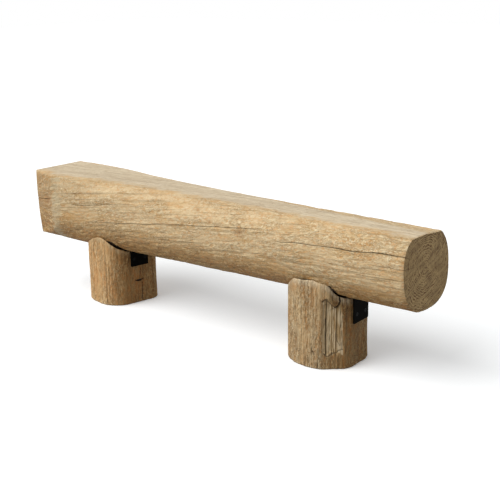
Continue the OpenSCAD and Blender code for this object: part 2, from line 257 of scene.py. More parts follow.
def dropIn(found, nodeNames, margin):
    # hits in the beds and pilot holes of these nodes are dropped, to be bridged along the fibre
    for name in nodeNames:
        low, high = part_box(name)
        inside = np.all((found > np.array(low) - margin) & (found < np.array(high) + margin), axis=-1)
        found[inside] = np.nan


def bridge(values, along):
    # fills what was dropped by straight lines down each column
    for column in range(values.shape[1]):
        good = ~np.isnan(values[:, column])
        if good.any() and not good.all():
            values[:, column] = np.interp(along, along[good], values[good, column])


def cloud(first, second, third, seed):
    # smooth noise from 0 to 1 over a grid of places
    field = np.empty(first.shape)
    for at in np.ndindex(first.shape):
        field[at] = noise.noise(Vector((first[at] + seed, second[at] - seed, third[at] + 2 * seed)))
    return np.clip(field * 0.9 + 0.5, 0, 1)


def readPattern(values, name, along, turn):
    # one of a piece's patterns at each point of its skin; turn is in degrees about the tree
    perMetre, perTurn, seed = values["patterns"][name]
    rad = np.radians(turn)
    return cloud(along * perMetre, np.cos(rad) * perTurn, np.sin(rad) * perTurn, seed + values["seed"])


def fade(values, start, full):
    # 0 at start and 1 at full, with a smooth rise between
    share = np.clip((values - start) / (full - start), 0, 1)
    return share * share * (3 - 2 * share)


def writeFields(piece, fields, treeSpace):
    # what the materials read at each vertex: masks, and its place in the straightened tree
    for name, values in fields.items():
        field = piece.data.attributes.new(name, "FLOAT", "POINT")
        field.data.foreach_set("value", np.ascontiguousarray(values, np.float32))
    field = piece.data.attributes.new("treeSpace", "FLOAT_VECTOR", "POINT")
    field.data.foreach_set("vector", np.ascontiguousarray(treeSpace, np.float32).ravel())


def finishWood(piece, nodeName):
    startEdit(piece, "FACE")
    bpy.ops.mesh.select_all(action="SELECT")
    bpy.ops.mesh.normals_make_consistent(inside=False)
    bpy.ops.object.mode_set(mode="OBJECT")
    bpy.ops.object.shade_smooth_by_angle(angle=math.radians(creaseAngle))
    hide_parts(nodeName)
    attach(piece, "root")


# Wood materials

# Layers of figure: length and width along the fibre in mm, detail, swirl, where the noise starts to show and
# is full, colour, how strong, and the part of the surface that takes it: "bare" is all that isn't sanded,
# "torn" its rougher patches
logTone = {
    "base": "#dbc197",
    "layers": (
        (380, 70, 2, 0.2, 0.42, 0.66, "#bfaa84", 0.40, "bare"),    # grey weathering
        (150, 34, 3, 0.6, 0.46, 0.66, "#c99c5c", 0.45, "bare"),    # broad resin-coloured bands
        (60, 18, 3, 0.8, 0.48, 0.64, "#ead3a6", 0.50, "bare"),     # pale drawknife sweeps
        (28, 11, 3, 1.2, 0.48, 0.62, "#b3894f", 0.42, "torn"),     # torn fibre, drawn coarse enough to show
        (14, 7, 2, 1.2, 0.50, 0.60, "#9a7340", 0.44, "torn"),
        (15, 7, 2, 1.2, 0.50, 0.60, "#f6e4bc", 0.55, "torn"),      # its bright flecks
        (17, 9, 2, 1.0, 0.53, 0.61, "#d28f48", 0.36, "bare"),      # resin flecks
        (520, 5, 2, 0.1, 0.56, 0.68, "#8f7751", 0.40, "bare"),     # long thin shakes
        (15, 7, 2, 1.0, 0.51, 0.62, "#5e3f1c", 0.60, "under"),     # dirt specks, laid within the painted shade below
        (500, 18, 3, 0.1, 0.44, 0.64, "#c2ac8c", 0.50, "sanded"),  # long grain of the seat
        (210, 7, 3, 0.2, 0.50, 0.64, "#b09979", 0.50, "sanded"),
        (60, 11, 3, 0.6, 0.50, 0.64, "#eedfc0", 0.45, "sanded"),
        (24, 6, 2, 0.8, 0.52, 0.64, "#b89d74", 0.45, "sanded"),
        (46, 12, 3, 0.8, 0.50, 0.64, "#cfa065", 0.40, "arris"),    # orange where the arris was planed
    ),
    # painted shade: the dark brown and its warm tint darken the underside, and the near-black fills the
    # checks, marks and open joints
    "sanded": "#dbc9aa", "worn": "#d0c09c", "agedAndShaded": "#9a7645", "under": "#85561b", "knot": "#8a5a2e",
    "check": "#32241a", "shadeTint": "#fdf1d8",
    "roughness": 0.66, "specular": 0.3, "bump": 0.0018,
    "tornPatch": (167, 67),    # size of the torn patches along and across the fibre, mm
    "reliefWidth": 20,         # figure narrower than this stands up or lies low, mm
}
buttLegTone = dict(logTone, **{
    "base": "#dbb27b",
    "layers": (
        (300, 60, 3, 0.2, 0.42, 0.66, "#c9a473", 0.45, "bare"),
        (140, 22, 3, 0.5, 0.48, 0.66, "#d18e4a", 0.60, "bare"),
        (44, 13, 3, 0.9, 0.48, 0.62, "#efd3a2", 0.50, "torn"),
        (26, 10, 3, 1.2, 0.48, 0.62, "#a27340", 0.45, "torn"),
        (14, 7, 2, 1.2, 0.50, 0.60, "#8a5f32", 0.48, "torn"),
        (15, 7, 2, 1.2, 0.52, 0.62, "#f3dcae", 0.50, "torn"),
        (17, 9, 2, 1.0, 0.53, 0.61, "#d8924c", 0.28, "bare"),
        (240, 6, 2, 0.2, 0.56, 0.68, "#7a552e", 0.40, "bare"),
    ),
    # painted shade: the dark brown and its warm tint darken the +X side, most near the top under the log, and
    # the near-black fills the marks and the joint
    "worn": "#d9c095", "under": "#6a4f2c", "check": "#1d1309", "shadeTint": "#dccdb0", "bump": 0.0020,
})
thinLegTone = dict(logTone, **{
    "base": "#cbad80",
    "layers": (
        (300, 60, 3, 0.2, 0.42, 0.66, "#b8a380", 0.45, "bare"),
        (130, 17, 3, 0.8, 0.48, 0.60, "#a5733a", 0.60, "bare"),
        (60, 14, 3, 0.9, 0.48, 0.60, "#e4cda3", 0.55, "torn"),
        (26, 10, 3, 1.2, 0.50, 0.62, "#8a6432", 0.55, "torn"),
        (14, 7, 2, 1.2, 0.50, 0.60, "#765229", 0.50, "torn"),
        (15, 7, 2, 1.2, 0.52, 0.62, "#efdab2", 0.55, "torn"),
        (17, 9, 2, 1.0, 0.54, 0.62, "#c98842", 0.28, "bare"),
        (200, 7, 2, 0.4, 0.56, 0.68, "#694c2a", 0.45, "bare"),
        (180, 7, 3, 0.3, 0.46, 0.62, "#b38e5a", 0.50, "sanded"),   # fibre of the torn corner
    ),
    # painted shade: the dark brown and its warm tint darken the +X side, most near the top under the log, and
    # the near-black fills the marks, the torn corner's furrows and the joint
    "sanded": "#f2dcb2", "worn": "#efdfbe", "under": "#523a1b", "check": "#1c1309", "shadeTint": "#dbc8a2",
    "bump": 0.0022,
})


def peeledSpruce(name, tone):
    # spruce peeled with a drawknife and left to weather: dull straw, torn short fibre that scatters light,
    # grey and resin-brown patches drawn out along the grain, and a paler seat where it was sanded
    made, tree = emptyMaterial(name)
    fibre = addNode(tree, "ShaderNodeAttribute", {"attribute_name": "treeSpace"}).outputs["Vector"]
    masks = {part: addNode(tree, "ShaderNodeAttribute", {"attribute_name": part}).outputs["Fac"]
             for part in ("sanded", "worn", "agedAndShaded", "under", "arris", "knot", "check")}
    masks["bare"] = addNode(tree, "ShaderNodeMath", {"operation": "SUBTRACT"}, at0=1,
                            at1=masks["sanded"]).outputs[0]
    # the fibre is torn in some places and calm in others
    long, wide = tone["tornPatch"]
    placed = addNode(tree, "ShaderNodeMapping", Vector=fibre,
                     Scale=(1000 / long, 1000 / wide, 1000 / wide)).outputs[0]
    torn = addNode(tree, "ShaderNodeTexNoise", Vector=placed, Scale=1, Detail=2).outputs["Fac"]
    torn = addNode(tree, "ShaderNodeMapRange", Value=torn, From_Min=0.4, From_Max=0.6, To_Min=0.35).outputs[0]
    masks["torn"] = addNode(tree, "ShaderNodeMath", {"operation": "MULTIPLY"}, at0=torn,
                            at1=masks["bare"]).outputs[0]
    colour = linearColour(tone["base"])
    relief = None
    # the sanded seat takes its own colour; the aged wood, which carries the painted shade on the lower side,
    # and the painted shade of the underside and of a leg's +X side take dark browns
    for part, share in (("sanded", 1), ("agedAndShaded", 0.8), ("under", 0.75)):
        amount = addNode(tree, "ShaderNodeMath", {"operation": "MULTIPLY"}, at0=masks[part],
                         at1=share).outputs[0]
        colour = addNode(tree, "ShaderNodeMix", {"data_type": "RGBA"}, at0=amount, at6=colour,
                         at7=linearColour(tone[part])).outputs[2]
    for at, (long, wide, detail, swirl, start, full, tint, share, part) in enumerate(tone["layers"]):
        placed = addNode(tree, "ShaderNodeMapping", Vector=fibre, Location=(at * 3.7, at * 5.3, at * 7.1),
                         Scale=(1000 / long, 1000 / wide, 1000 / wide)).outputs[0]
        figure = addNode(tree, "ShaderNodeTexNoise", Vector=placed, Scale=1, Detail=detail, Roughness=0.62,
                         Distortion=swirl).outputs["Fac"]
        figure = addNode(tree, "ShaderNodeMapRange", {"interpolation_type": "SMOOTHSTEP"}, Value=figure,
                         From_Min=start, From_Max=full, To_Max=share).outputs[0]
        figure = addNode(tree, "ShaderNodeMath", {"operation": "MULTIPLY"}, at0=figure,
                         at1=masks[part]).outputs[0]
        colour = addNode(tree, "ShaderNodeMix", {"data_type": "RGBA"}, at0=figure, at6=colour,
                         at7=linearColour(tint)).outputs[2]
        if wide < tone["reliefWidth"]:
            # pale fibre stands up, dark fibre lies low
            sign = 1 if int(tint[1:3], 16) > int(tone["base"][1:3], 16) else -1
            relief = addNode(tree, "ShaderNodeMath", {"operation": "MULTIPLY_ADD"}, at0=figure, at1=sign,
                             at2=0.0 if relief is None else relief).outputs[0]
    # painted shade: the shaded parts are multiplied by a warm tint that takes the blue out of the wood
    colour = addNode(tree, "ShaderNodeMix", {"data_type": "RGBA", "blend_type": "MULTIPLY"},
                     at0=masks["under"], at6=colour, at7=linearColour(tone["shadeTint"])).outputs[2]
    # the worn strip and knots take their own colours; the checks, marks, furrows and open joints take a
    # near-black painted shade
    for part, share in (("worn", 0.6), ("knot", 0.6), ("check", 1)):
        amount = addNode(tree, "ShaderNodeMath", {"operation": "MULTIPLY"}, at0=masks[part],
                         at1=share).outputs[0]
        colour = addNode(tree, "ShaderNodeMix", {"data_type": "RGBA"}, at0=amount, at6=colour,
                         at7=linearColour(tone[part])).outputs[2]
    bump = addNode(tree, "ShaderNodeBump", Strength=1, Distance=tone["bump"], Height=relief)
    shade = addNode(tree, "ShaderNodeBsdfPrincipled", Base_Color=colour, Roughness=tone["roughness"],
                    IOR=1.5, Specular_IOR_Level=tone["specular"], Normal=bump.outputs[0])
    addNode(tree, "ShaderNodeOutputMaterial", Surface=shade.outputs[0])
    return made


# Sizes are in mm. The growth rings are drawn wider than this spruce's own so that they show
endTone = {
    # painted shade: the near-black is for the checks where they cut the end
    "base": "#ccae7d", "late": "#6a4c2d", "heart": "#856c4d", "check": "#1b120a",
    "ring": 8, "ringBreak": 16.67, "patch": 45.45, "pore": 4.167, "sawMark": 7.692,
    "sawTilt": 0.34,          # how far the ripple of the saw leans, radians
    "sawLong": 14,            # how many times longer than wide one ripple is
    "roughness": 0.8, "specular": 0.2, "bump": 0.0016,
}


def sawnSpruceEnd(name, tone, pith, way):
    # chain-sawn end: growth rings about the pith, dark with dirt in the open pores, ripple of the saw
    made, tree = emptyMaterial(name)
    place = addNode(tree, "ShaderNodeTexCoord").outputs["Object"]
    centred = addNode(tree, "ShaderNodeMapping", Vector=place, Location=[-c for c in pith]).outputs[0]
    # the wave turns once in pi / 10 of its own units
    rings = addNode(tree, "ShaderNodeTexWave", {"wave_type": "RINGS", "rings_direction": way}, Vector=centred,
                    Scale=0.314 * 1000 / tone["ring"], Distortion=14, Detail=3, Detail_Scale=0.5,
                    Detail_Roughness=0.6).outputs["Fac"]
    rings = addNode(tree, "ShaderNodeMapRange", Value=rings, From_Min=0.1, From_Max=0.7).outputs[0]
    broken = addNode(tree, "ShaderNodeTexNoise", Vector=centred, Scale=1000 / tone["ringBreak"],
                     Detail=2).outputs["Fac"]
    broken = addNode(tree, "ShaderNodeMapRange", Value=broken, From_Min=0.36, From_Max=0.6,
                     To_Min=0.3).outputs[0]
    rings = addNode(tree, "ShaderNodeMath", {"operation": "MULTIPLY"}, at0=rings, at1=broken).outputs[0]
    patches = addNode(tree, "ShaderNodeTexNoise", Vector=centred, Scale=1000 / tone["patch"],
                      Detail=4).outputs["Fac"]
    pores = addNode(tree, "ShaderNodeTexNoise", Vector=centred, Scale=1000 / tone["pore"],
                    Detail=3).outputs["Fac"]
    saw = addNode(tree, "ShaderNodeMapping", {"vector_type": "TEXTURE"}, Vector=place,
                  Rotation=(tone["sawTilt"], 0, 0), Scale=(1, tone["sawLong"], 1)).outputs[0]
    saw = addNode(tree, "ShaderNodeTexNoise", Vector=saw, Scale=1000 / tone["sawMark"],
                  Detail=2).outputs["Fac"]
    colour = addNode(tree, "ShaderNodeMix", {"data_type": "RGBA"}, at0=rings, at6=linearColour(tone["base"]),
                     at7=linearColour(tone["late"])).outputs[2]
    stains = ((patches, 0.42, 0.68, 0.5, "heart"), (saw, 0.48, 0.64, 0.55, "base"),
              (pores, 0.5, 0.68, 0.5, "late"))
    for figure, start, full, share, tint in stains:
        amount = addNode(tree, "ShaderNodeMapRange", Value=figure, From_Min=start, From_Max=full,
                         To_Max=share).outputs[0]
        colour = addNode(tree, "ShaderNodeMix", {"data_type": "RGBA"}, at0=amount, at6=colour,
                         at7=linearColour(tone[tint])).outputs[2]
    # painted shade in the checks where they cut the end
    check = addNode(tree, "ShaderNodeAttribute", {"attribute_name": "check"}).outputs["Fac"]
    colour = addNode(tree, "ShaderNodeMix", {"data_type": "RGBA"}, at0=check, at6=colour,
                     at7=linearColour(tone["check"])).outputs[2]
    height = addNode(tree, "ShaderNodeMath", {"operation": "MULTIPLY_ADD"}, at0=rings, at1=-0.5,
                     at2=pores).outputs[0]
    height = addNode(tree, "ShaderNodeMath", {"operation": "ADD"}, at0=height, at1=saw).outputs[0]
    bump = addNode(tree, "ShaderNodeBump", Strength=1, Distance=tone["bump"], Height=height)
    shade = addNode(tree, "ShaderNodeBsdfPrincipled", Base_Color=colour, Roughness=tone["roughness"], IOR=1.5,
                    Specular_IOR_Level=tone["specular"], Normal=bump.outputs[0])
    addNode(tree, "ShaderNodeOutputMaterial", Surface=shade.outputs[0])
    return made


# The seat log

seatLog = {
    "columns": 400, "cuts": (100, 1), "capRings": 14, "radius": 0.15, "length": 1.82,
    "axis": (0, 0.372), "endBevel": 0.004, "seat": 0.5, "seed": 0,
    # degrees that the fibre has turned about the axis, by place along the log
    "twist": ((-0.910, 0), (-0.300, -35.4), (0.200, -60.4), (0.910, -78.2)),
    # drying checks: degrees about the tree, start, end, half width in degrees, depth, and darkness of their
    # painted shade
    "checks": (
        (169.2, -0.702, -0.438, 0.20, 0.0030, 0.55), (175.6, -0.910, -0.757, 0.90, 0.0060, 1.0),
        (183.8, 0.085, 0.201, 0.16, 0.0015, 0.4), (187.2, -0.670, -0.272, 0.22, 0.0040, 0.6),
        (193.0, 0.030, 0.082, 0.20, 0.0015, 0.6), (208.5, 0.416, 0.613, 0.18, 0.0020, 0.5),
        (216.7, -0.525, 0.359, 0.30, 0.0065, 0.8), (219.5, 0.431, 0.510, 0.22, 0.0020, 0.6),
        (231.3, 0.391, 0.910, 0.36, 0.0080, 0.9), (240.0, -0.485, -0.083, 0.18, 0.0025, 0.5),
        (245.0, 0.780, 0.906, 0.22, 0.0030, 0.5), (250.0, -0.021, 0.288, 0.24, 0.0035, 0.6),
        (254.0, 0.342, 0.573, 0.24, 0.0035, 0.6), (257.5, 0.707, 0.908, 0.26, 0.0035, 0.8),
        (285.0, -0.800, -0.300, 0.30, 0.0050, 0.9), (305.0, -0.100, 0.500, 0.34, 0.0070, 1.0),
        (18.8, -0.600, 0.100, 0.34, 0.0070, 1.0), (42.5, 0.200, 0.850, 0.38, 0.0080, 1.0),
        (65.0, -0.300, 0.420, 0.24, 0.0040, 0.8), (82.0, 0.450, 0.800, 0.20, 0.0030, 0.7),
    ),
    # small knots: place on the skin, radius
    "knots": ((0.253, -0.143, 0.422, 0.008), (0.105, -0.135, 0.436, 0.004), (-0.278, -0.134, 0.409, 0.005),
              (0.036, -0.117, 0.466, 0.004), (-0.520, 0.140, 0.430, 0.011), (0.330, 0.120, 0.330, 0.010),
              (-0.885, -0.100, 0.374, 0.012), (-0.800, -0.128, 0.382, 0.013)),
    "seatRise": (0.006, 0.0015),    # how far below its top the seat begins and is full
    "arrises": (130, 50),           # degrees about the axis, for a ring that has no seat
    "frontLimit": -0.05,            # all that lies before this is the front of the log
    # the sanding stops short of the front and the back arris: how raggedly, where it starts and is full
    "sandingStops": ((0.030, -0.006, 0.020), (0.010, -0.004, 0.008)),
    # the lower front ages towards the butt end: how much, where along the log it starts and is full
    "agedSide": ((0.26, 0.3, 0.6), (0.20, 0.5, 0.68)),
    # pale strip worn along the edge of the butt face: height, middle and half width along the log
    "wornStrip": ((0.266, -0.747, 0.022), (0.399, -0.723, 0.034), (0.487, -0.728, 0.022)),
    "pith": ((0.010, 0.370), (-0.023, 0.397)),
    # the open joint over each leg: centre of the leg, then degrees about it and how far out of the leg's
    # side, in mm, the joint is open and painted with shade
    "joints": {
        "thin_leg": ((0.534, -0.024), ((0, 0), (40, -4), (226, -12), (302, -12), (307, 10), (310, 16.5),
                                       (314, 15), (318, 10), (322, 2), (328, -1), (345, 0), (360, 0))),
        "butt_leg": ((-0.509, -0.006), ((0, 0), (40, -4), (226, -12), (292, -12), (300, -3), (306, 2),
                                        (325, 2), (350, 0), (360, 0))),
    },
    # all of the log over its joints is below this height; how deep they are, and how dark their painted shade
    # is
    "jointTop": 0.36, "jointDepth": 0.003, "jointShade": 0.97,
    # patterns on the skin: patches a metre along it, patches in a radian round it, seed
    "patterns": {
        "wander": (9, 1.6, 3),      # the fibre straying from its twist
        "rough": (16, 12, 6),       # drawknife marks
        "dents": (6, 4, 8),
        "fine": (45, 26, 9),        # torn fibre
        "ragged": (22, 9, 12),      # the broken edge of the seat
    },
    # how deep these lie, in metres
    "relief": {"rough": 0.0016, "dents": 0.0018, "fine": 0.0012},
    "wanderDegrees": 2.4,
    "calm": (0.85, 0.7),            # share of that relief that is missing on the seat and at the two ends
    "knotDepth": 0.0015,
    "checkTaper": 0.06,             # length over which a check runs out
    "arrisWidth": 0.026,            # planed width along the front arris
    "arrisWear": (0.0022, 0.007),   # depth and width of the wear on both arrises
    "endCrack": 0.003,              # depth of a check where it shows on a sawn end
    "openEnd": 0.9,                 # a check that reaches past this runs out of the log's end
}


def columnTurns(values):
    # even columns, with five drawn close together at each check
    halves = {turn % 360: half for turn, start, end, half, deep, dark in values["checks"]}
    marks = sorted(halves)
    close = []
    for mark in marks:
        half = halves[mark]
        close += [mark - 1 - half, mark - half, mark, mark + half, mark + 1 + half]
    gaps = [(mark + 1.5, after - 1.5) for mark, after in zip(marks, marks[1:] + [marks[0] + 360])]
    widths = np.array([max(high - low, 0.5) for low, high in gaps])
    wanted = widths / widths.sum() * (values["columns"] - len(close))
    counts = np.floor(wanted).astype(int)
    for at in np.argsort(counts - wanted)[:values["columns"] - len(close) - counts.sum()]:
        counts[at] += 1
    for (low, high), count in zip(gaps, counts):
        close += list(np.linspace(low, high, count + 2)[1:-1])
    return np.sort(np.array(close) % 360)


def readLogSkin(values, along, turns):
    # the solid's own radius on a plain grid, with the cuts of checks, beds and pilot holes bridged,
    # then read at the places of the twisted columns
    plain = np.arange(360.0)
    rad = np.radians(plain)
    out = np.stack([rad * 0, np.cos(rad), np.sin(rad)], axis=-1)
    axis = np.stack([along, along * 0 + values["axis"][0], along * 0 + values["axis"][1]], axis=-1)
    starts = axis[:, None] + out[None] * rayStart
    found = throwRays(skinOf("seat_log"), starts, np.tile(-out[None], (len(along), 1, 1)))
    dropIn(found, [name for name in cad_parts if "bracket" in name or "log_screws" in name], 0.004)
    far = np.linalg.norm(found - axis[:, None], axis=-1)
    # a check in the solid reads as a point below its neighbours
    around = np.stack([np.roll(far, shift, axis=1) for shift in range(-3, 4)])
    middle = np.nanmedian(np.where(np.isnan(around).all(axis=0), values["radius"], around), axis=0)
    far = np.where(far < middle - 0.0006, middle, far)
    bridge(far, along)
    ringed = np.hstack([far, far[:, :1]])
    return np.stack([np.interp(row % 360, np.arange(361.0), ringed[at]) for at, row in enumerate(turns)])


def coverOf(name, joint, x, y):
    # 1 where the joint over a leg is open and painted with shade, 0 where the log shows
    (centreX, centreY), reach = joint
    plain = np.radians(np.arange(360))
    out = np.stack([np.cos(plain), np.sin(plain), plain * 0], axis=-1)
    waist = throwRays(skinOf(name), np.array([centreX, centreY, waistHeight]) + out * rayStart, -out)
    side = np.hypot(waist[:, 0] - centreX, waist[:, 1] - centreY)
    turn = np.degrees(np.arctan2(y - centreY, x - centreX)) % 360
    beyond = np.hypot(x - centreX, y - centreY) - np.interp(turn, np.arange(361), np.append(side, side[0]))
    return fade(np.interp(turn, *np.array(reach).T) / 1000 - beyond, -0.001, 0.002)


def cutChecks(values, alongGrid, treeGrid):
    # depth of the drying checks, and darkness of their painted shade, at each point of the skin
    depth = np.zeros_like(treeGrid)
    dark = np.zeros_like(treeGrid)
    for turn, start, stop, half, deep, tint in values["checks"]:
        offset = np.abs((treeGrid - turn + 180) % 360 - 180)
        fromStart = alongGrid - start if start > -values["openEnd"] else 1
        toStop = stop - alongGrid if stop < values["openEnd"] else 1
        breaks = cloud(alongGrid * 24, treeGrid * 0 + turn, treeGrid * 0, 1.0)
        reach = np.clip(np.minimum(fromStart, toStop) / values["checkTaper"], 0, 1)
        reach = reach * np.clip(0.35 + 1.2 * breaks, 0, 1)
        depth = np.maximum(depth, np.where(offset < half * 0.5, deep * reach, 0))
        lip = np.clip(1.1 - offset / (half + 0.02), 0, 1)
        dark = np.maximum(dark, np.where(offset < half * 0.5, 1, lip) * reach * tint)
    return depth, dark


def makeSeatLog(values):
    piece = roundBlank("seatLogWood", values)
    ring, column, inward, rings = readPlaces(piece, values)
    tree = columnTurns(values)
    end = values["length"] / 2
    along = np.linspace(-end + values["endBevel"], end - values["endBevel"], rings + 1)
    twist = np.polyval(np.polyfit(*np.array(values["twist"]).T, 3), along)
    alongGrid, treeGrid = np.meshgrid(along, tree, indexing="ij")
    pattern = {name: readPattern(values, name, alongGrid, treeGrid) for name in values["patterns"]}
    turns = treeGrid + twist[:, None] + (pattern["wander"] - 0.5) * values["wanderDegrees"]
    far = readLogSkin(values, along, turns)
    rad = np.radians(turns)
    out = np.stack([rad * 0, np.cos(rad), np.sin(rad)], axis=-1)
    axisY, axisZ = values["axis"]
    axis = np.stack([alongGrid, alongGrid * 0 + axisY, alongGrid * 0 + axisZ], axis=-1)
    skin = axis + out * far[..., None]
    height = skin[..., 2]

    # where the seat is, and how far each point is from its two arrises
    begins, isFull = values["seatRise"]
    top = fade(height, values["seat"] - begins, values["seat"] - isFull)
    onSeat = top > 0.9
    turnHere = turns % 360
    frontTurn, backTurn = values["arrises"]
    front = np.array([max(row[flat], default=frontTurn) for row, flat in zip(turnHere, onSeat)])
    behind = np.array([min(row[flat], default=backTurn) for row, flat in zip(turnHere, onSeat)])
    toFront = (turnHere - front[:, None]) * math.pi / 180 * far
    toBehind = (behind[:, None] - turnHere) * math.pi / 180 * far
    arris = np.exp(-(toFront / values["arrisWidth"]) ** 2)
    sanded = top.copy()
    for beyond, (ragged, start, full) in zip((toFront, toBehind), values["sandingStops"]):
        sanded *= fade(-beyond - ragged * pattern["ragged"], start, full)

    # relief: soft drawknife dents, torn fibre, and arrises worn round, the back one less
    relief = sum(deep * fade(pattern[name], 0.45, 1) for name, deep in values["relief"].items())
    calmSeat, calmEnd = values["calm"]
    relief *= (1 - calmSeat * top) * (1 - calmEnd * fade(np.abs(alongGrid), end - 0.03, end - 0.004))
    wearDepth, wearWidth = values["arrisWear"]
    wear = np.exp(-(toFront / wearWidth) ** 2) + 0.6 * np.exp(-(toBehind / wearWidth) ** 2)
    relief += wearDepth * pattern["ragged"] * wear
    depth, dark = cutChecks(values, alongGrid, treeGrid)

    # small knots: a hollow with a ring round it
    knot = np.zeros_like(far)
    for x, y, z, size in values["knots"]:
        away = np.sqrt(((skin - (x, y, z)) ** 2 * (0.6, 1, 1)).sum(axis=-1))
        hollow = np.exp(-(away / size) ** 2)
        knot = np.maximum(knot, hollow + 0.5 * np.exp(-((away - 1.9 * size) / (0.4 * size)) ** 2))
        relief += values["knotDepth"] * hollow

    # worn strip, aged butt face and lower side, painted shade on the lower side towards the thin end, and
    # painted shade on the underside
    strip = np.array(values["wornStrip"])
    middle = np.interp(height, strip[:, 0], strip[:, 1])
    wide = np.interp(height, strip[:, 0], strip[:, 2])
    onFront = skin[..., 1] < values["frontLimit"]
    ragged = 1.3 * (pattern["rough"] - 0.5)
    worn = fade(1.35 - np.abs(alongGrid - middle) / wide + ragged, 0, 0.7) * onFront * (1 - top)
    worn *= 0.55 + 0.45 * fade(pattern["fine"], 0.3, 0.6)
    agedAndShaded = fade(middle - alongGrid, -0.02, 0.03) * onFront * (1 - top)
    towardsButt = sum(much * fade(-alongGrid, start, full) for much, start, full in values["agedSide"])
    agedAndShaded = np.maximum(agedAndShaded, towardsButt * onFront * fade(0.44 - height, 0, 0.06))
    # painted shade: the lower side darkens towards the thin end
    agedAndShaded = np.maximum(agedAndShaded, 0.6 * fade(alongGrid, 0.05, 0.5) * fade(0.34 - height, 0, 0.08))
    # painted shade: the lower half of the log darkens towards its underside
    under = fade(-np.sin(rad), -0.05, 0.85)

    # open, and painted with shade, where a leg covers it
    for name, joint in values["joints"].items():
        covered = coverOf(name, joint, skin[..., 0], skin[..., 1]) * (height < values["jointTop"])
        dark = np.maximum(dark, values["jointShade"] * covered)
        relief += values["jointDepth"] * covered

    spots = axis + out * (far - relief - depth)[..., None]
    spots[..., 2] = np.minimum(spots[..., 2], values["seat"])
    places = spots[ring, column]
    fields = {"check": dark, "sanded": sanded, "worn": worn, "agedAndShaded": agedAndShaded, "under": under,
              "arris": arris, "knot": knot}
    fields = {name: grid[ring, column] for name, grid in fields.items()}
    for side, at in ((-1, 0), (1, rings)):
        onEnd = (inward > 0) & (ring == at)
        level = inward[onEnd]
        centre = np.array([0, *values["pith"][at > 0]])
        away = spots[at][column[onEnd]] - centre
        away[:, 0] = 0
        size = np.linalg.norm(away, axis=1)
        keep = (1 - values["endBevel"] * 0.6 / size) * (1 - (level - 1) / values["capRings"])
        keep[level > values["capRings"]] = 0
        cap = centre + away * keep[:, None]
        crack = dark[at][column[onEnd]] * fade(keep, 0.45, 1)
        cap[:, 0] = side * (end - values["endCrack"] * crack * (keep < 0.97))
        places[onEnd] = cap
        fields["check"][onEnd] = crack
        for name in ("sanded", "worn", "arris", "knot"):
            fields[name][onEnd] = 0
    piece.data.vertices.foreach_set("co", np.ascontiguousarray(places, np.float32).ravel())
    barrel = np.radians(tree)[column]
    writeFields(piece, fields, np.stack([along[ring], values["radius"] * np.cos(barrel),
                                         values["radius"] * np.sin(barrel)], axis=-1))
    piece.data.materials.append(peeledSpruce("peeledSpruceLog", logTone))
    piece.data.materials.append(sawnSpruceEnd("sawnSpruceEnd", endTone, (end, *values["pith"][1]), "X"))
    for face in piece.data.polygons:
        face.material_index = 1 if min(inward[v] for v in face.vertices) > 0 else 0
    finishWood(piece, "seat_log")


makeSeatLog(seatLog)
print("seat log shaped")


# The legs

# Patterns on the skin: patches a metre up it, patches in a radian round it, and what each adds to the
# leg's seed
legPatterns = {
    "rough": (16, 12, 0),       # drawknife marks
    "dents": (6, 3, 2),
    "fine": (50, 30, 4),        # torn fibre
    "flutes": (5, 24, 6),       # shallow flutes that run with the fibre
    "wander": (30, 6, 8),       # where marks are dark and where pale
    "drift": (9, 2, 12),        # how the furrows of the torn corner stray
    "clean": (12, 22, 14),      # its fresh wood
    "weathered": (14, 20, 16),  # its pale, weathered wood
    "tornSide": (22, 0, 18),    # its ragged side
}
legRelief = {"rough": 0.0014, "dents": 0.0016, "fine": 0.0012}    # in metres
rimBevel = 0.002        # how far the rim of a leg's top is broken
rimRound = 0.006        # the height over which it is worn round
rimPale = 0.030         # and over which its fibre is worn pale
shadedSideTurn = 5             # the way the side with painted shade faces, degrees
topSunk = 0.0005        # a leg's top lies this far below the solid's own
deepestHollow = 0.012   # what reads deeper in a leg's side than this is a hole, and is bridged

legBlank = {"columns": 440, "cuts": (9, 13), "capRings": 12, "radius": 0.12, "length": 0.3,
            "footBevel": 0.004, "patterns": legPatterns}
